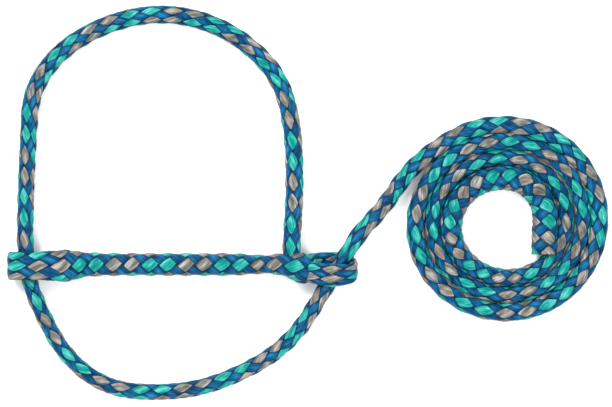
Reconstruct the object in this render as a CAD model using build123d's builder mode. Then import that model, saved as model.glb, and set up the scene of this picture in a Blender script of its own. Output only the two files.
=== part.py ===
"""Livestock rope halter, laid flat: noseband, crown, chin rope and coiled lead, all one braided rope.

Frame: +Z up from the surface that the halter lies on, +Y towards the crown, +X towards the lead.
The origin is on the surface, under the middle of the halter without its lead. Millimetres.
"""

import os
from math import cos, pi, radians, sin, tan

from build123d import *

# ---------------------------------------------------------------- driving dimensions

ROPE_D = 10.2  # the braided rope
SLEEVE_D = 14.0  # the rope where another length of it is buried inside
CORE_D = 8.4  # a buried length, squeezed by the braid round it
BORE_D = 8.6  # the hollow of the braid round a buried length
LEG_T = 4.8  # thickness of a flattened leg of rope
LEG_GAP = 0.2  # between a flattened leg and the rope that lies on it
SNUG = 0.1  # gap round rope that a loop grips
CLEARANCE = 0.4  # gap between rope sections that move apart

ROPE_R = ROPE_D / 2
SLEEVE_R = SLEEVE_D / 2
PASS_Z = LEG_T + LEG_GAP + ROPE_R  # centre of rope that lies on a flattened leg
KNOT_TOP = 2 * (LEG_T + LEG_GAP) + ROPE_D

BAND_Y = -37.0  # the noseband's centreline
BAND_LEFT = -58.0
BAND_RIGHT = 58.0
TAIL_END = 48.0  # tip of the buried tail
TAPER_START = 40.0
TAPER_R = ROPE_R + 0.4  # the sleeve where it leaves the buried tail
TAIL_TIP_LENGTH = 6.0
TAIL_TIP_STEP = 2.4

EYE_X = -94.4  # where the cheek rope runs through the left eye
EYE_Y = -37.8
EYE_WIDTH = 17.4
EYE_RIGHT = -80.0
EYE_END_R = SLEEVE_R + 0.6
THROAT_Z = SLEEVE_R + 0.6  # centre of the throat between the eye and the noseband
THROAT_Y = -37.8
THROAT_START = (8.2, 7.2)  # half its width and half its height at the eye
THROAT_MIDDLE = (10.4, 7.5)
HINGE_Y = -23.5  # line that the crown folds about, just above the noseband
LOCK_X = 66.0  # where the right cheek leaves the noseband
LOCK_RIGHT = 80.0
LOCK_MIDDLE_AT = (-38.7, 7.9)  # centre of the lock, across the noseband and above the surface
LOCK_MIDDLE = (10.2, 7.7)  # half its width and half its height
LOCK_END_AT = (-39.5, 8.6)
LOCK_END = (8.6, 7.8)

KEEPER_CENTRE = (93.3, -38.5)
KEEPER_LEAN = 30  # degrees that the keeper loop leans back from upright
KEEPER_R = 11.5
KEEPER_WIDTH = 12.0
KEEPER_END_R = SLEEVE_R + 0.8

HITCH_START = (86.5, -49.5)  # the running rope enters the keeper
HITCH_END = (106.0, -18.0)  # and leaves it, where the lead swings

COIL_X = 194.0
COIL_Y = -9.3
COIL_R = 61.5
COIL_HOLE_R = 30.0
COIL_EDGE_R = 3.5
CHANNEL_GAP = 0.3  # round the back splice inside the coil
MOUTH_DEPTH = 6.0  # from the lip of the back splice to the rope inside it

CHEEK_TOP_Y = 45.0  # where the cheeks become the crown

# ---------------------------------------------------------------- routes of the free rope

CROWN_ROUTE = [
    (-93.6, -23.5, 10.1),
    (-93.6, -11.0, 9.3),
    (-93.5, 9.0, 5.1),
    (-92.2, 38.0, 5.1),
    (-90.6, 66.0, 5.1),
    (-75.5, 89.1, 5.1),
    (-50.1, 105.4, 5.1),
    (-20.0, 113.6, 5.1),
    (9.5, 110.8, 5.1),
    (37.0, 97.5, 5.1),
    (58.9, 74.7, 5.1),
    (66.4, 44.0, 5.1),
    (67.4, 12.0, 5.1),
    (66.4, -10.5, 9.3),
    (65.4, -23.5, 10.1),
]
CHIN_ROUTE = [
    (-90.9, -47.0, 10.1),
    (-87.5, -57.3, 9.5),
    (-81.3, -71.8, 5.1),
    (-71.4, -89.1, 5.1),
    (-56.2, -103.8, 5.1),
    (-37.5, -112.4, 5.1),
    (-13.5, -113.8, 5.1),
    (11.3, -111.2, 5.1),
    (36.0, -101.8, 5.1),
    (55.2, -90.7, 5.1),
    (69.2, -77.2, 9.7),
    (78.3, -63.5, 10.1),
    (86.5, -49.5, 10.1),
]
LEAD_ROUTE = [
    (106.0, -18.0, 10.1),
    (113.8, -10.2, 9.3),
    (123.1, 0.8, 5.1),
    (133.4, 16.1, 5.1),
    (145.8, 28.6, 5.1),
]
BACK_SPLICE_ROUTE = [
    (161.8, -7.4, 7.0),
    (167.3, 6.1, 7.0),
    (179.6, 15.6, 7.0),
    (194.0, 17.0, 7.0),
    (206.2, 11.8, 7.0),
    (214.4, 2.3, 7.0),
    (216.7, -9.3, 7.0),
    (216.9, -33.0, 7.0),
]


def bend_radii(route):
    """The largest arc for each corner: 0.45 of its shorter run, over the tangent of half the turn."""
    radii = []
    for before, corner, after in zip(route, route[1:], route[2:]):
        run_in = Vector(*corner) - Vector(*before)
        run_out = Vector(*after) - Vector(*corner)
        half_turn = radians(run_in.get_angle(run_out)) / 2
        radii.append(0.45 * min(run_in.length, run_out.length) / tan(half_turn))
    return radii


def start_plane(path):
    """The plane square to the path at its start."""
    return Plane(origin=path.wire() @ 0, z_dir=path.wire() % 0)


def direction(start, end):
    """The level direction from one point of the plan to another."""
    return Vector(end[0] - start[0], end[1] - start[1], 0).normalized()


# ---------------------------------------------------------------- paths of the free rope

with BuildLine() as crown_path:
    FilletPolyline(*CROWN_ROUTE, radius=bend_radii(CROWN_ROUTE))

with BuildLine() as chin_path:
    FilletPolyline(*CHIN_ROUTE, radius=bend_radii(CHIN_ROUTE))

with BuildLine() as lead_path:
    FilletPolyline(*LEAD_ROUTE, radius=bend_radii(LEAD_ROUTE))

with BuildLine() as back_splice_path:
    FilletPolyline(*BACK_SPLICE_ROUTE, radius=bend_radii(BACK_SPLICE_ROUTE))

# ---------------------------------------------------------------- noseband

with BuildPart() as noseband_sleeve:
    with BuildSketch(Plane.YZ.offset(BAND_LEFT)) as sleeve_end:
        with Locations((BAND_Y, SLEEVE_R)):
            Circle(SLEEVE_R)
    extrude(amount=TAPER_START - BAND_LEFT)
    with BuildSketch(Plane.YZ.offset(TAPER_START)) as taper_start:
        with Locations((BAND_Y, SLEEVE_R)):
            Circle(SLEEVE_R)
    with BuildSketch(Plane.YZ.offset(BAND_RIGHT)) as taper_end:
        with Locations((BAND_Y, TAPER_R)):
            Circle(TAPER_R)
    loft()
    with BuildSketch(Plane.YZ.offset(BAND_LEFT)) as bore:
        with Locations((BAND_Y, SLEEVE_R)):
            Circle(BORE_D / 2)
    extrude(amount=TAIL_END - BAND_LEFT, mode=Mode.SUBTRACT)

with BuildPart() as buried_tail:
    with BuildSketch(Plane.YZ.offset(BAND_LEFT)) as tail_section:
        with Locations((BAND_Y, SLEEVE_R)):
            Circle(CORE_D / 2)
    extrude(amount=TAIL_END - BAND_LEFT - CLEARANCE)
    tip_edge = buried_tail.faces().sort_by(Axis.X)[-1].edges()
    chamfer(tip_edge, length=TAIL_TIP_LENGTH, length2=TAIL_TIP_STEP)

# ---------------------------------------------------------------- left eye and its throat

EYE_ROPE = Plane(
    origin=Vector(*CHIN_ROUTE[0]),
    z_dir=direction(CHIN_ROUTE[0], CROWN_ROUTE[0]),
)
EYE_ROPE_LENGTH = (Vector(*CROWN_ROUTE[0]) - Vector(*CHIN_ROUTE[0])).length

with BuildPart() as left_eye:
    with BuildSketch(Plane(origin=(0, EYE_Y, 0), x_dir=(1, 0, 0), z_dir=(0, -1, 0))) as eye_outline:
        with Locations((EYE_X, PASS_Z)):
            Circle(PASS_Z)
        with Locations((EYE_RIGHT, EYE_END_R)):
            Circle(EYE_END_R)
        make_hull()
    extrude(amount=EYE_WIDTH / 2, both=True)
    split(bisect_by=Plane.YZ.offset(EYE_RIGHT), keep=Keep.BOTTOM)
    with BuildSketch(EYE_ROPE) as eye_hole:
        Circle(ROPE_R + SNUG)
    extrude(amount=2 * EYE_ROPE_LENGTH, both=True, mode=Mode.SUBTRACT)

with BuildPart() as eye_pass:
    with BuildSketch(EYE_ROPE.offset(3 * CLEARANCE)) as eye_pass_section:
        Circle(ROPE_R)
    extrude(amount=EYE_ROPE_LENGTH - ROPE_R - 4 * CLEARANCE)

with BuildPart() as eye_splice:
    with BuildSketch(Plane.YZ.offset(EYE_RIGHT)) as throat_start:
        with Locations((EYE_Y, THROAT_Z)):
            Ellipse(*THROAT_START)
    with BuildSketch(Plane.YZ.offset((EYE_RIGHT + BAND_LEFT) / 2)) as throat_middle:
        with Locations((THROAT_Y, THROAT_Z)):
            Ellipse(*THROAT_MIDDLE)
    with BuildSketch(Plane.YZ.offset(BAND_LEFT)) as throat_end:
        with Locations((BAND_Y, SLEEVE_R)):
            Circle(SLEEVE_R)
    loft()

# ---------------------------------------------------------------- keeper loop and its lock

PULL = direction(HITCH_START, HITCH_END)
PULL_LENGTH = (Vector(*HITCH_END) - Vector(*HITCH_START)).length
HITCH_PLANE = Plane(origin=(*HITCH_START, PASS_Z), z_dir=PULL)
KEEPER_PLANE = Plane(
    origin=(*KEEPER_CENTRE, PASS_Z),
    x_dir=(1, 0, 0),
    z_dir=(0, cos(radians(KEEPER_LEAN)), sin(radians(KEEPER_LEAN))),
)

with BuildPart() as keeper_loop:
    with BuildSketch(KEEPER_PLANE) as keeper_outline:
        Circle(KEEPER_R)
        with Locations((LOCK_RIGHT - KEEPER_PLANE.origin.X, 0)):
            Circle(KEEPER_END_R)
        make_hull()
    extrude(amount=KEEPER_WIDTH / 2, both=True)
    split(bisect_by=Plane.YZ.offset(LOCK_RIGHT), keep=Keep.TOP)
    split(bisect_by=Plane.XY, keep=Keep.TOP)
    split(bisect_by=Plane.XY.offset(KNOT_TOP), keep=Keep.BOTTOM)
    with BuildSketch(HITCH_PLANE) as keeper_hole:
        Circle(ROPE_R + CLEARANCE)
    extrude(amount=2 * PULL_LENGTH, both=True, mode=Mode.SUBTRACT)

with BuildPart() as keeper_lock:
    with BuildSketch(Plane.YZ.offset(BAND_RIGHT)) as lock_start:
        with Locations((BAND_Y, TAPER_R)):
            Circle(TAPER_R)
    with BuildSketch(Plane.YZ.offset((BAND_RIGHT + LOCK_RIGHT) / 2)) as lock_middle:
        with Locations(LOCK_MIDDLE_AT):
            Ellipse(*LOCK_MIDDLE)
    with BuildSketch(Plane.YZ.offset(LOCK_RIGHT)) as lock_end:
        with Locations(LOCK_END_AT):
            Ellipse(*LOCK_END)
    loft()
    with BuildSketch(Plane(origin=(LOCK_X, BAND_Y, PASS_Z), z_dir=(0, 1, 0))) as cheek_root:
        Circle(ROPE_R)
    extrude(amount=HINGE_Y - BAND_Y - ROPE_R - CLEARANCE)

# ---------------------------------------------------------------- crown: cheeks and crown piece

with BuildPart() as crown_rope:
    with BuildSketch(start_plane(crown_path)) as crown_section:
        Circle(ROPE_R)
    sweep(path=crown_path.wire())
    with Locations(CROWN_ROUTE[0], CROWN_ROUTE[-1]):
        Sphere(ROPE_R)

CHEEK_TOP = Plane(origin=(0, CHEEK_TOP_Y, 0), z_dir=(0, 1, 0))

with BuildPart() as left_cheek:
    add(crown_rope.part)
    split(bisect_by=CHEEK_TOP, keep=Keep.BOTTOM)
    split(bisect_by=Plane.YZ, keep=Keep.BOTTOM)

with BuildPart() as right_cheek:
    add(crown_rope.part)
    split(bisect_by=CHEEK_TOP, keep=Keep.BOTTOM)
    split(bisect_by=Plane.YZ, keep=Keep.TOP)

with BuildPart() as crown_piece:
    add(crown_rope.part)
    split(bisect_by=CHEEK_TOP, keep=Keep.TOP)

# ---------------------------------------------------------------- chin rope and the rope in the keeper

with BuildPart() as chin_rope:
    with BuildSketch(start_plane(chin_path)) as chin_section:
        Circle(ROPE_R)
    sweep(path=chin_path.wire())

with BuildPart() as keeper_pass:
    with BuildSketch(HITCH_PLANE.offset(CLEARANCE)) as hitch_section:
        Circle(ROPE_R)
    extrude(amount=PULL_LENGTH - ROPE_R - 2 * CLEARANCE)

# ---------------------------------------------------------------- lead

with BuildPart() as lead_run:
    with BuildSketch(start_plane(lead_path)) as lead_section:
        Circle(ROPE_R)
    sweep(path=lead_path.wire())
    with Locations(LEAD_ROUTE[0]):
        Sphere(ROPE_R)

with BuildPart() as lead_coil:
    with BuildSketch() as coil_outline:
        with Locations((COIL_X, COIL_Y)):
            Circle(COIL_R)
            Circle(COIL_HOLE_R, mode=Mode.SUBTRACT)
    extrude(amount=ROPE_D)
    fillet(lead_coil.edges().filter_by(GeomType.CIRCLE).sort_by(SortBy.RADIUS)[-2:], radius=COIL_EDGE_R)
    with BuildSketch(start_plane(back_splice_path)) as splice_channel:
        Circle(SLEEVE_R + CHANNEL_GAP)
    sweep(path=back_splice_path.wire(), mode=Mode.SUBTRACT)

with BuildPart() as back_splice:
    with BuildSketch(start_plane(back_splice_path)) as back_splice_section:
        Circle(SLEEVE_R)
        Circle(BORE_D / 2, mode=Mode.SUBTRACT)
    sweep(path=back_splice_path.wire())

with BuildPart() as back_splice_core:
    with BuildSketch(start_plane(back_splice_path)) as back_core_section:
        Circle(CORE_D / 2)
    sweep(path=back_splice_path.wire())
    split(
        bisect_by=Plane(origin=(0, BACK_SPLICE_ROUTE[-1][1] + MOUTH_DEPTH, 0), z_dir=(0, 1, 0)),
        keep=Keep.TOP,
    )

# ---------------------------------------------------------------- export

NODES = {
    "noseband_sleeve": noseband_sleeve,
    "buried_tail": buried_tail,
    "left_eye": left_eye,
    "eye_splice": eye_splice,
    "eye_pass": eye_pass,
    "keeper_loop": keeper_loop,
    "keeper_lock": keeper_lock,
    "left_cheek": left_cheek,
    "crown_piece": crown_piece,
    "right_cheek": right_cheek,
    "chin_rope": chin_rope,
    "keeper_pass": keeper_pass,
    "lead_run": lead_run,
    "lead_coil": lead_coil,
    "back_splice": back_splice,
    "back_splice_core": back_splice_core,
}

os.makedirs("parts", exist_ok=True)
for name, node in NODES.items():
    node.part.label = name
    export_step(node.part, f"parts/{name}.step")

SECTION = pi * ROPE_R**2
for name, route, path, tube in (
    ("crown", CROWN_ROUTE, crown_path, crown_rope),
    ("chin", CHIN_ROUTE, chin_path, chin_rope),
    ("lead", LEAD_ROUTE, lead_path, lead_run),
    ("back splice", BACK_SPLICE_ROUTE, back_splice_path, back_splice_core),
):
    length = path.wire().length
    radii = [round(radius) for radius in bend_radii(route)]
    print(f"{name}: length {length:.0f} mm, volume {tube.part.volume:.0f} mm3,", end=" ")
    print(f"section x length {SECTION * length:.0f} mm3, radii {radii}")
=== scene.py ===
"""Livestock rope halter laid flat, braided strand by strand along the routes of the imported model.

Metres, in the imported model's frame: +X towards the lead, +Y towards the crown, +Z up from the surface.
One rope of eight strands makes the whole halter: four blue strands turn one way round the rope, two
teal and two tan ones turn the other way, and they pass over one and under one.
"""

from math import cos, pi, radians, sin

import bpy
import numpy as np
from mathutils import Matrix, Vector


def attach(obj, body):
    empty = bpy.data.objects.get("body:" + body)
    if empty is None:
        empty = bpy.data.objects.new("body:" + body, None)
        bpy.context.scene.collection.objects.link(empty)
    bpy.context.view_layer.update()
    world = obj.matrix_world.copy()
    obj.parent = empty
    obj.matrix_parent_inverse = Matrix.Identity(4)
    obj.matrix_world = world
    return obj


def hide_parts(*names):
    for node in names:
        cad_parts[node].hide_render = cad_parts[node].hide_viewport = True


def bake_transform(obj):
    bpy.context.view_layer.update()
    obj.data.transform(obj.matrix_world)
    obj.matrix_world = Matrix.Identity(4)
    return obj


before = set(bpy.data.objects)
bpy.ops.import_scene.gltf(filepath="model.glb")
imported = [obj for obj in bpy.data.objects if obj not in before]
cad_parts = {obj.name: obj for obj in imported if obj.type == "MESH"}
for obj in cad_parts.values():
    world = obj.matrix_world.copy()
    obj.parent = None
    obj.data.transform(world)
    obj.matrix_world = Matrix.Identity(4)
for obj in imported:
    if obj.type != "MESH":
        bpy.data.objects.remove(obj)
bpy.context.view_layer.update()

# ---------------------------------------------------------------- camera

VIEW_WIDTH = 0.3672  # seen across the picture, at the surface
CAMERA_HEIGHT = 2.0
VIEW_CENTRE = (0.0741, -0.0006)

camera = bpy.data.objects.new("camera", bpy.data.cameras.new("camera"))
bpy.context.scene.collection.objects.link(camera)
camera.location = (*VIEW_CENTRE, CAMERA_HEIGHT)
camera.data.sensor_width = 36
camera.data.lens = camera.data.sensor_width * CAMERA_HEIGHT / VIEW_WIDTH
camera.data.clip_start = 0.1
camera.data.clip_end = 10
bpy.context.scene.camera = camera

# ---------------------------------------------------------------- sizes of the rope

# half width, half height, and how straight the strands run where they show
ROPE = (0.0053, 0.0051, 1)
WIDE = (0.0057, 0.0051, 1)  # the crown and the right cheek, which lie a little flatter
SLIM = (0.0051, 0.0051, 1)  # the chin rope, which is pulled tighter
FAT = (0.0070, 0.0070, 0.30)  # where a tail is buried inside it
OPENED = 0.4  # straightness of the strands in the flattened loops
STEP = 0.00105  # ring spacing along a strand
OUTSIDE, INSIDE = 9, 3  # points round a strand where it shows, and where it is hidden
SIDES = OUTSIDE + INSIDE
AROUND = np.concatenate([np.linspace(0, pi, OUTSIDE), np.linspace(pi, 2 * pi, INSIDE + 2)[1:-1]])
STRANDS = 4  # strands that turn the same way
BLUE_COVER = radians(50)  # half the angle that a blue strand covers
PALE_COVER = radians(42)  # the same for a teal or tan strand
RELIEF = 0.0006  # half the way that a strand sinks to pass under
THICKNESS = 0.0016  # of one strand
FLATNESS = 0.45  # of a strand's top: 1 is an ellipse, and less has a flatter top
ARCH = np.sin(AROUND)
DROP = 1 - np.where(ARCH > 0, np.maximum(ARCH, 0) ** FLATNESS, ARCH)  # below the top, in half thicknesses
WAVER = 0.6  # how much a strand turns along the rope where it shows
SWAY = radians(2.5)  # how far strands stray from their even places
SWAY_RATES = (190, 430)  # two waves of sway, in radians a metre of rope
SWAY_OFFSETS = (1.7, 2.9)  # radians of each wave from one strand to the next
TEXTURE_OFFSET = 0.37  # metres of texture from one strand to the next, so that no two look alike

# ---------------------------------------------------------------- routes

CROWN_ROUTE = [
    (-0.0926, -0.0375, 0.0101),
    (-0.0936, -0.0235, 0.0101),
    (-0.0936, -0.0110, 0.0093),
    (-0.0935, 0.0090, 0.0051),
    (-0.0922, 0.0380, 0.0051),
    (-0.0906, 0.0660, 0.0051),
    (-0.0755, 0.0891, 0.0051),
    (-0.0501, 0.1054, 0.0051),
    (-0.0200, 0.1136, 0.0051),
    (0.0095, 0.1108, 0.0051),
    (0.0370, 0.0975, 0.0051),
    (0.0589, 0.0747, 0.0051),
    (0.0664, 0.0440, 0.0051),
    (0.0674, 0.0120, 0.0051),
    (0.0664, -0.0105, 0.0093),
    (0.0654, -0.0235, 0.0101),
    (0.0656, -0.0370, 0.0088),
]
CHIN_ROUTE = [
    (-0.0926, -0.0365, 0.0101),
    (-0.0909, -0.0470, 0.0101),
    (-0.0875, -0.0573, 0.0095),
    (-0.0813, -0.0718, 0.0051),
    (-0.0714, -0.0891, 0.0051),
    (-0.0562, -0.1038, 0.0051),
    (-0.0375, -0.1124, 0.0051),
    (-0.0135, -0.1138, 0.0051),
    (0.0113, -0.1112, 0.0051),
    (0.0360, -0.1018, 0.0051),
    (0.0552, -0.0907, 0.0051),
    (0.0692, -0.0772, 0.0097),
    (0.0783, -0.0635, 0.0101),
    (0.0865, -0.0495, 0.0101),
]
LEAD_ROUTE = [
    (0.1060, -0.0180, 0.0101),
    (0.1138, -0.0102, 0.0093),
    (0.1231, 0.0008, 0.0051),
    (0.1334, 0.0161, 0.0051),
    (0.1458, 0.0286, 0.0051),
]
NOSEBAND_ROUTE = [  # tail, eye, noseband, lock, keeper loop, back into the lock; each with its size
    ((-0.0640, -0.0372, 0.0050), (0.0046, 0.0030, OPENED)),
    ((-0.0780, -0.0378, 0.0028), (0.0075, 0.0026, OPENED)),
    ((-0.0900, -0.0378, 0.0024), (0.0082, 0.0024, OPENED)),
    ((-0.1020, -0.0378, 0.0024), (0.0086, 0.0024, OPENED)),
    ((-0.1020, -0.0378, 0.0176), (0.0087, 0.0024, OPENED)),
    ((-0.0900, -0.0378, 0.0176), (0.0087, 0.0024, OPENED)),
    ((-0.0790, -0.0376, 0.0170), (0.0088, 0.0026, OPENED)),
    ((-0.0700, -0.0378, 0.0110), (0.0106, 0.0076, OPENED)),
    ((-0.0600, -0.0370, 0.0074), (0.0078, 0.0074, FAT[2])),
    ((-0.0450, -0.0370, 0.0070), FAT),
    ((-0.0200, -0.0370, 0.0070), FAT),
    ((0.0100, -0.0370, 0.0070), FAT),
    ((0.0350, -0.0370, 0.0070), FAT),
    ((0.0480, -0.0370, 0.0064), (0.0056, 0.0060, OPENED)),
    ((0.0580, -0.0368, 0.0092), (0.0066, 0.0088, OPENED)),
    ((0.0660, -0.0376, 0.0101), (0.0080, 0.0098, OPENED)),
    ((0.0740, -0.0400, 0.0094), (0.0104, 0.0084, OPENED)),
    ((0.0800, -0.0355, 0.0048), (0.0062, 0.0046, OPENED)),
    ((0.0860, -0.0335, 0.0028), (0.0042, 0.0026, OPENED)),
    ((0.0940, -0.0338, 0.0026), (0.0042, 0.0026, OPENED)),
    ((0.1018, -0.0362, 0.0026), (0.0044, 0.0026, OPENED)),
    ((0.1032, -0.0420, 0.0176), (0.0060, 0.0025, 1)),
    ((0.0930, -0.0434, 0.0178), (0.0070, 0.0025, 1)),
    ((0.0840, -0.0430, 0.0176), (0.0070, 0.0026, 1)),
    ((0.0765, -0.0415, 0.0140), (0.0064, 0.0030, 1)),
    ((0.0700, -0.0390, 0.0080), (0.0050, 0.0036, OPENED)),
]

COIL_CENTRE = (0.194, -0.0093)
COIL_TOP = 90  # degrees round the centre to the coil's top, on the crown's side
COIL_START = 114  # degrees round the centre, where the lead joins its outer turn
COIL_TURNED = 1170  # degrees from the top to the end of the coil
COIL_STEP = 22.5
COIL_RADIUS = 0.0562  # of the outer turn, at the middle of the rope
COIL_PITCH = 2 * ROPE[1]  # the turns lie side by side
COIL_SLIP = 0.65  # of a turn, from where the rope slips inside the turn before
COIL_LEAN = (-0.0008, -0.0006)  # how far the outer turn lies off the coil's centre
COIL_SIZES = [  # degrees from the top, half width, half height, straightness
    (315, 0.0057, 0.0051, 1),
    (400, 0.0052, 0.0051, 1),
    (860, 0.0052, 0.0051, 1),
    (1000, 0.0070, 0.0070, 1),
    (COIL_TURNED, 0.0082, 0.0070, 1),
]
CORNER_CUT = 1 / cos(radians(COIL_STEP / 2))  # a spline of order 3 cuts inside its points
END_POINTS = [(0.2165, -0.0215, 0.0070), (0.2168, -0.0330, 0.0070)]


def coil_points():
    """The coil's points and the rope's size at each, clockwise and inwards, a set angle apart.

    Each turn is round until it slips inside the one before, and the fat end lies further in.
    """
    points, sizes = [], []
    degrees, *measures = zip(*COIL_SIZES)
    turned = COIL_TOP - COIL_START
    while turned <= COIL_TURNED:
        size = tuple(np.interp(turned, degrees, measure) for measure in measures)
        turns, rest = divmod(turned / 360, 1)
        slip = max(0, (rest - COIL_SLIP) / (1 - COIL_SLIP))
        slip = slip * slip * (3 - 2 * slip)  # starts and ends gently
        radius = COIL_RADIUS - COIL_PITCH * (turns + slip) - max(0, size[0] - WIDE[0])
        outer = max(0, 1 - turned / 360)
        angle = radians(COIL_TOP - turned)
        points.append((COIL_CENTRE[0] + CORNER_CUT * radius * cos(angle) + COIL_LEAN[0] * outer,
                       COIL_CENTRE[1] + CORNER_CUT * radius * sin(angle) + COIL_LEAN[1] * outer,
                       size[1]))
        sizes.append(size)
        turned += COIL_STEP
    return points, sizes


# ---------------------------------------------------------------- splines and frames along a rope

LINE_FINENESS = 24  # points of a line for each of its control points
EVEN = ((0, 90),)  # a braid that shows a half of itself from above
LEVEL_ROLL = 45  # degrees of roll that put a pale diamond on top at each whole count

def spline(points):
    """The smooth line that has these control points, as closely spaced points."""
    data = bpy.data.curves.new("line", "CURVE")
    data.dimensions = "3D"
    data.resolution_u = LINE_FINENESS
    line = data.splines.new("NURBS")
    line.points.add(len(points) - 1)
    for point, place in zip(line.points, points):
        point.co = (*place, 1)
    line.order_u = 3
    line.use_endpoint_u = True
    holder = bpy.data.objects.new("line", data)
    bpy.context.scene.collection.objects.link(holder)
    mesh = bpy.data.meshes.new_from_object(holder.evaluated_get(bpy.context.evaluated_depsgraph_get()))
    out = np.empty(3 * len(mesh.vertices))
    mesh.vertices.foreach_get("co", out)
    bpy.data.objects.remove(holder)
    bpy.data.curves.remove(data)
    bpy.data.meshes.remove(mesh)
    return out.reshape(-1, 3)


def along(points):
    """The length from the line's start to each of its points."""
    gaps = np.linalg.norm(np.diff(points, axis=0), axis=1)
    return np.concatenate([[0], np.cumsum(gaps)])


def rope_line(route, sizes, diamonds, rolls, shown=EVEN, side=None):
    """Evenly spaced stations along a rope: centre, up, side, size and the turn of its strands.

    Diamonds and rolls say how many diamonds have gone by, and how far the rope has rolled in degrees,
    at chosen lengths along it. Shown is half the angle of the braid that faces up, 90 where it is even.
    Side is the way its right-hand side faces; without it, that is level.
    """
    places, scales = spline(route), spline(sizes)
    reach = along(places)
    stations = np.arange(0, reach[-1], STEP)
    centre = np.column_stack([np.interp(stations, reach, places[:, i]) for i in range(3)])
    size = np.column_stack([np.interp(stations, reach, scales[:, i]) for i in range(3)])
    ahead = np.gradient(centre, axis=0)
    ahead /= np.linalg.norm(ahead, axis=1)[:, None]
    sides = np.cross(ahead, (0, 0, 1)) if side is None else side - ahead * (ahead @ side)[:, None]
    sides /= np.linalg.norm(sides, axis=1)[:, None]
    count = np.interp(stations, *zip(*diamonds))
    roll = LEVEL_ROLL + np.interp(stations, *zip(*rolls))
    return {"s": stations, "centre": centre, "side": sides, "up": np.cross(sides, ahead), "size": size,
            "turn": pi / 2 * (count + 0.5), "roll": np.radians(roll),
            "shown": np.radians(np.interp(stations, *zip(*shown)))}


# ---------------------------------------------------------------- materials

SHADOWED = 0.35  # share of a strand's shade colour kept for the painted shade where it dives under

def strand_material(name, shade_colour, base, highlight_colour, shade_from, shade_to):
    """Flat bundles of shiny filament: long streaks that mix the filaments' own tone with painted highlight
    and shade, paler blotches of painted highlight, and painted shade where strands dive under.
    """
    material = bpy.data.materials.new(name)
    material.use_nodes = True
    nodes, links = material.node_tree.nodes, material.node_tree.links
    shader = nodes["Principled BSDF"]
    shader.inputs["Specular IOR Level"].default_value = 0.06
    uv = nodes.new("ShaderNodeUVMap")
    uv.uv_map = "strand"

    def noise(along_strand, across_strand, detail):
        """Noise stretched along the strand, with so many features a metre and round the strand."""
        stretch = nodes.new("ShaderNodeMapping")
        stretch.inputs["Scale"].default_value = (along_strand, across_strand, 1)
        links.new(uv.outputs["UV"], stretch.inputs["Vector"])
        texture = nodes.new("ShaderNodeTexNoise")
        texture.inputs["Scale"].default_value = 1.0
        texture.inputs["Detail"].default_value = detail
        texture.inputs["Roughness"].default_value = 0.6
        links.new(stretch.outputs["Vector"], texture.inputs["Vector"])
        return texture.outputs["Fac"]

    # the streaks stand for the filaments' own tone and also paint highlight and shade; the coarse blotches
    # are painted highlights; the fine filaments only bump the surface
    streaks, highlight_patches, filaments = noise(90, 26, 3), noise(130, 5, 1), noise(60, 60, 2)
    both = nodes.new("ShaderNodeMath")
    both.operation = "ADD"
    links.new(streaks, both.inputs[0])
    links.new(highlight_patches, both.inputs[1])
    highlight_to_shade = nodes.new("ShaderNodeMapRange")
    highlight_to_shade.inputs["From Min"].default_value = 0.7
    highlight_to_shade.inputs["From Max"].default_value = 1.3
    links.new(both.outputs["Value"], highlight_to_shade.inputs["Value"])
    # the colour runs from painted shade through the strand's own colour to painted highlight
    shades = nodes.new("ShaderNodeValToRGB")
    shades.color_ramp.elements[0].color = (*shade_colour, 1)
    shades.color_ramp.elements[1].color = (*highlight_colour, 1)
    shades.color_ramp.elements.new(0.45).color = (*base, 1)
    links.new(highlight_to_shade.outputs["Result"], shades.inputs["Fac"])

    # painted shade: the colour darkens with depth under the rope's top, in the creases where strands dive
    # under
    depth = nodes.new("ShaderNodeAttribute")
    depth.attribute_name = "depth"
    crease_shade = nodes.new("ShaderNodeMapRange")
    crease_shade.inputs["From Min"].default_value = shade_from
    crease_shade.inputs["From Max"].default_value = shade_to
    crease_shade.inputs["To Max"].default_value = 0.9
    links.new(depth.outputs["Fac"], crease_shade.inputs["Value"])
    shadow = nodes.new("ShaderNodeMix")
    shadow.data_type = "RGBA"
    shadow.inputs["B"].default_value = (*[SHADOWED * c for c in shade_colour], 1)
    links.new(crease_shade.outputs["Result"], shadow.inputs["Factor"])
    links.new(shades.outputs["Color"], shadow.inputs["A"])
    links.new(shadow.outputs["Result"], shader.inputs["Base Color"])

    gloss = nodes.new("ShaderNodeMapRange")
    gloss.inputs["To Min"].default_value = 0.5
    gloss.inputs["To Max"].default_value = 0.3
    links.new(streaks, gloss.inputs["Value"])
    links.new(gloss.outputs["Result"], shader.inputs["Roughness"])

    bump = nodes.new("ShaderNodeBump")
    bump.inputs["Strength"].default_value = 0.6
    bump.inputs["Distance"].default_value = 0.0004
    links.new(filaments, bump.inputs["Height"])
    links.new(bump.outputs["Normal"], shader.inputs["Normal"])
    return material


BLUE_PAINTED_SHADE = (0.0, 0.45)  # depths where a strand's painted shade starts and where it is darkest
PALE_PAINTED_SHADE = (0.45, 1.0)
# each strand's colours: painted shade, its own colour, painted highlight; then the depths of its painted
# crease shade
BLUE = strand_material("blue_strand", (0.0, 0.010, 0.034), (0.0, 0.056, 0.148), (0.01, 0.160, 0.330),
                       *BLUE_PAINTED_SHADE)
TEAL = strand_material("teal_strand", (0.0, 0.10, 0.09), (0.0, 0.20, 0.17), (0.09, 0.40, 0.37),
                       *PALE_PAINTED_SHADE)
TAN = strand_material("tan_strand", (0.045, 0.043, 0.036), (0.118, 0.110, 0.095), (0.33, 0.32, 0.30),
                      *PALE_PAINTED_SHADE)
COLOURS = [BLUE, TEAL, TAN]


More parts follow.
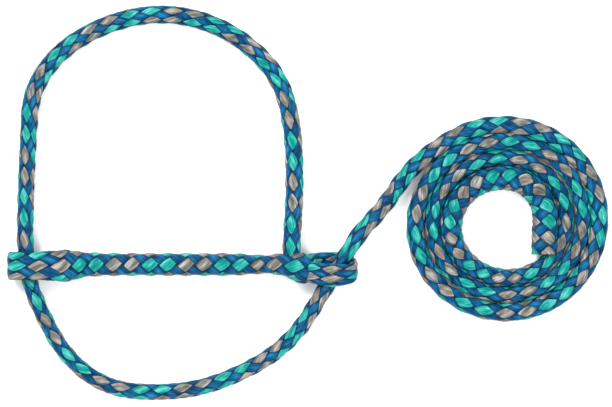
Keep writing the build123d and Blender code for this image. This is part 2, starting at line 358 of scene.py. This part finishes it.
def buried_material():
    """The squeezed rope inside the braid: deep blue, with painted shade in darker cleft lines."""
    material = bpy.data.materials.new("buried_rope")
    material.use_nodes = True
    nodes, links = material.node_tree.nodes, material.node_tree.links
    places = nodes.new("ShaderNodeTexCoord")
    # painted shade: a noise darkens the blue in lines where the rope's clefts would lie in shade
    cleft_shade = nodes.new("ShaderNodeTexNoise")
    cleft_shade.inputs["Scale"].default_value = 260
    cleft_shade.inputs["Detail"].default_value = 3
    links.new(places.outputs["Object"], cleft_shade.inputs["Vector"])
    shades = nodes.new("ShaderNodeValToRGB")
    shades.color_ramp.elements[0].position = 0.35
    shades.color_ramp.elements[0].color = (0.0, 0.008, 0.02, 1)
    shades.color_ramp.elements[1].position = 0.65
    shades.color_ramp.elements[1].color = (0.0, 0.05, 0.12, 1)
    links.new(cleft_shade.outputs["Fac"], shades.inputs["Fac"])
    links.new(shades.outputs["Color"], nodes["Principled BSDF"].inputs["Base Color"])
    nodes["Principled BSDF"].inputs["Roughness"].default_value = 0.6
    return material


BURIED = buried_material()

# ---------------------------------------------------------------- braid


def section(angle, width, height, shown, deep):
    """Places on a flattened round section, at an angle from its top and so deep under its surface."""
    flat = np.maximum(width - height, 0)
    angle = (angle + pi) % (2 * pi) - pi
    front = np.abs(angle) * pi / 2 / shown
    back = pi - (pi - np.abs(angle)) * pi / 2 / (pi - shown)
    angle = np.sign(angle) * np.where(np.abs(angle) < shown, front, back)
    folded = np.minimum(np.abs(angle), pi - np.abs(angle))
    reach = folded * (flat + pi / 2 * height) / (pi / 2)
    bend = np.clip((reach - flat) / height, 0, pi / 2)
    side = np.minimum(reach, flat) + (np.minimum(width, height) - deep) * np.sin(bend)
    up = (height - deep) * np.cos(bend)
    return np.sign(angle) * side, np.where(np.abs(angle) > pi / 2, -up, up)


def strand(line, first, last, index, way, order):
    """Vertices, texture lengths and depth of one strand of the rope, between two stations."""
    part = slice(first, last)
    size, turn, length = line["size"][part], line["turn"][part], line["s"][part]
    roll = line["roll"][part]
    sway = SWAY * sum(np.sin(rate * length + offset * order)
                      for rate, offset in zip(SWAY_RATES, SWAY_OFFSETS))
    waver = -way * WAVER * np.sin(STRANDS * turn)
    middle = 2 * pi * index / STRANDS + roll + sway + way * (turn + size[:, 2] * waver / STRANDS)
    cover = BLUE_COVER if way > 0 else PALE_COVER
    slim = np.minimum(1, size[:, :2].min(axis=1) / ROPE[0])  # strands thin where the rope does
    angle = middle[:, None] + cover * np.cos(AROUND)
    weave = way / 2 * (np.cos(STRANDS * turn)[:, None] + np.cos(STRANDS * (angle - roll[:, None])))
    low = RELIEF * (1 - weave) + THICKNESS / 2 * DROP
    deep = slim[:, None] * low
    shown = line["shown"][part]
    sides, ups = section(angle, size[:, 0][:, None], size[:, 1][:, None], shown[:, None], deep)
    place = (line["centre"][part][:, None, :]
             + ups[:, :, None] * line["up"][part][:, None, :]
             + sides[:, :, None] * line["side"][part][:, None, :])
    # how deep each point lies under the rope's top, which the materials paint as shade
    depth = low / (2 * RELIEF + THICKNESS / 2)
    lengths = np.repeat(length[:, None], SIDES, axis=1) + TEXTURE_OFFSET * order
    return place.reshape(-1, 3), lengths.reshape(-1), depth.reshape(-1)


def braid(name, line, start, end):
    """The rope's eight strands between two lengths along its line, as one mesh with closed strands."""
    first, last = int(round(start / STEP)), int(round(end / STEP))
    rings = min(last, len(line["s"])) - first
    places, lengths, depths, faces, corners, skins = [], [], [], [], [], []
    for order in range(2 * STRANDS):
        way, index = (1 if order < STRANDS else -1), order % STRANDS
        place, length, depth = strand(line, first, first + rings, index, way, order)
        base = len(places) * rings * SIDES
        colour = 0 if way > 0 else 1 + index // 2
        for ring in range(rings - 1):
            for side in range(SIDES):
                low, high = base + ring * SIDES, base + (ring + 1) * SIDES
                step = (side + 1) % SIDES
                faces.append((low + side, low + step, high + step, high + side))
                corners += [side, side + 1, side + 1, side]
                skins.append(colour)
        tip = base + (rings - 1) * SIDES
        faces.append(tuple(base + side for side in reversed(range(SIDES))))
        faces.append(tuple(tip + side for side in range(SIDES)))
        corners += [*reversed(range(SIDES)), *range(SIDES)]
        skins += [colour, colour]
        places.append(place)
        lengths.append(length)
        depths.append(depth)
    mesh = bpy.data.meshes.new(name)
    mesh.from_pydata(np.concatenate(places).tolist(), [], faces)
    for material in COLOURS:
        mesh.materials.append(material)
    mesh.polygons.foreach_set("material_index", skins)
    mesh.polygons.foreach_set("use_smooth", [True] * len(faces))
    spread = mesh.attributes.new("depth", "FLOAT", "POINT")
    spread.data.foreach_set("value", np.concatenate(depths))
    used = np.empty(len(mesh.loops), int)
    mesh.loops.foreach_get("vertex_index", used)
    texture = np.column_stack([np.concatenate(lengths)[used], np.array(corners) / SIDES])
    mesh.uv_layers.new(name="strand").data.foreach_set("uv", texture.ravel())
    mesh.update()
    rope = bpy.data.objects.new(name, mesh)
    bpy.context.scene.collection.objects.link(rope)
    return rope


# ---------------------------------------------------------------- the halter's pieces

DIAMOND = 0.0127  # length of rope from one diamond of a row to the next
LEAD_DIAMOND = 0.0129  # the same in the lead, which is drawn a little longer
SLEEVE_DIAMOND = 0.0108  # over the buried tail
LOOSE_DIAMOND = 0.018  # where the rope is drawn out, in the keeper
SPLICE_DIAMOND = 0.0095  # in the back splice


def counted(first, *stretches):
    """Diamonds gone by along a rope, from stretches of a length and the length of one diamond."""
    pins = [(0, first)]
    for length, diamond in stretches:
        pins.append((pins[-1][0] + length, pins[-1][1] + length / diamond))
    return pins


CROWN_DIAMONDS = counted(1.8, (0.40, DIAMOND))
RUNNING_DIAMONDS = counted(3.2, (0.24, DIAMOND), (0.05, LOOSE_DIAMOND), (0.83, LEAD_DIAMOND),
                           (0.18, SPLICE_DIAMOND))
NOSEBAND_DIAMONDS = counted(-7.1, (0.09, DIAMOND), (0.14, SLEEVE_DIAMOND), (0.05, LOOSE_DIAMOND),
                            (0.03, DIAMOND))
# degrees of roll at lengths along each rope
CROWN_ROLLS = [(0, 0), (0.10, -25), (0.20, -35), (0.30, -80)]
RUNNING_ROLLS = [(0, 0), (0.15, -30), (0.30, -50), (0.50, -25), (0.60, 0), (1.00, 10), (1.25, -20)]
NOSEBAND_ROLLS = [(0.25, 0), (0.275, -35)]
# half the angle of the braid that faces up, in degrees, at lengths along each rope
CROWN_SHOWN = [(0, 95), (0.10, 110), (0.28, 115), (0.32, 95)]
NOSEBAND_SHOWN = [(0, 90), (0.04, 130), (0.075, 130), (0.10, 90), (0.21, 90), (0.225, 120), (0.245, 90),
                  (0.26, 90), (0.27, 52)]

LEFT_CHEEK_POINTS = 5  # of the crown's route; beyond them the rope lies a little flatter
crown_sizes = [ROPE] * LEFT_CHEEK_POINTS + [WIDE] * (len(CROWN_ROUTE) - LEFT_CHEEK_POINTS)
crown_line = rope_line(CROWN_ROUTE, crown_sizes,
                       CROWN_DIAMONDS, CROWN_ROLLS, CROWN_SHOWN)
crown = braid("crown", crown_line, 0, crown_line["s"][-1])
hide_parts("left_cheek", "crown_piece", "right_cheek", "eye_pass")

coil, coil_sizes = coil_points()
running_route = CHIN_ROUTE + LEAD_ROUTE + coil + END_POINTS
running_sizes = ([SLIM] * len(CHIN_ROUTE) + [ROPE] * len(LEAD_ROUTE) + coil_sizes
                 + [coil_sizes[-1]] * len(END_POINTS))
running_line = rope_line(running_route, running_sizes, RUNNING_DIAMONDS, RUNNING_ROLLS)
KEEPER_ENTRY = CHIN_ROUTE[-1]
from_keeper = np.linalg.norm(running_line["centre"] - KEEPER_ENTRY, axis=1)
entry = running_line["s"][int(from_keeper.argmin())]
finish_length = running_line["s"][-1]
chin = braid("chin", running_line, 0, entry + STEP)
lead = braid("lead", running_line, entry, finish_length)
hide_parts("chin_rope")
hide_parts("keeper_pass", "lead_run", "lead_coil", "back_splice")

noseband_line = rope_line([place for place, _ in NOSEBAND_ROUTE], [size for _, size in NOSEBAND_ROUTE],
                          NOSEBAND_DIAMONDS, NOSEBAND_ROLLS, NOSEBAND_SHOWN, side=(0, -1, 0))
noseband = braid("noseband", noseband_line, 0, noseband_line["s"][-1])
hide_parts("noseband_sleeve", "left_eye", "eye_splice", "keeper_loop", "keeper_lock")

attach(noseband, "noseband")
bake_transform(crown)
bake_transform(chin)
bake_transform(lead)

for node in ("buried_tail", "back_splice_core"):
    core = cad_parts[node]
    core.data.materials.clear()
    core.data.materials.append(BURIED)

# ---------------------------------------------------------------- floor and light

FLOOR_SIZE = 6
FLOOR_DROP = 0.0001  # below the halter, so that the two faces don't share a place

bpy.ops.mesh.primitive_plane_add(size=FLOOR_SIZE, location=(0, 0, -FLOOR_DROP))
floor = bpy.context.object
floor.name = "floor"
paper = bpy.data.materials.new("white_paper")
paper.use_nodes = True
paper.node_tree.nodes["Principled BSDF"].inputs["Base Color"].default_value = (0.9, 0.9, 0.9, 1)
paper.node_tree.nodes["Principled BSDF"].inputs["Roughness"].default_value = 0.9
floor.data.materials.append(paper)

world = bpy.data.worlds.new("studio")
bpy.context.scene.world = world
world.use_nodes = True
world.node_tree.nodes["Background"].inputs["Color"].default_value = (1, 1, 1, 1)
world.node_tree.nodes["Background"].inputs["Strength"].default_value = 1.3


def softbox(name, place, size, power):
    """A square lamp that faces the halter."""
    lamp = bpy.data.lights.new(name, "AREA")
    lamp.size = size
    lamp.energy = power
    holder = bpy.data.objects.new(name, lamp)
    holder.location = place
    holder.rotation_euler = (Vector((*VIEW_CENTRE, 0)) - Vector(place)).to_track_quat("-Z", "Y").to_euler()
    bpy.context.scene.collection.objects.link(holder)


softbox("key", (-0.5, 0.7, 1.1), 0.6, 21)
softbox("fill", (0.8, -0.6, 1.2), 0.8, 12)

bpy.context.scene.view_settings.view_transform = "Standard"
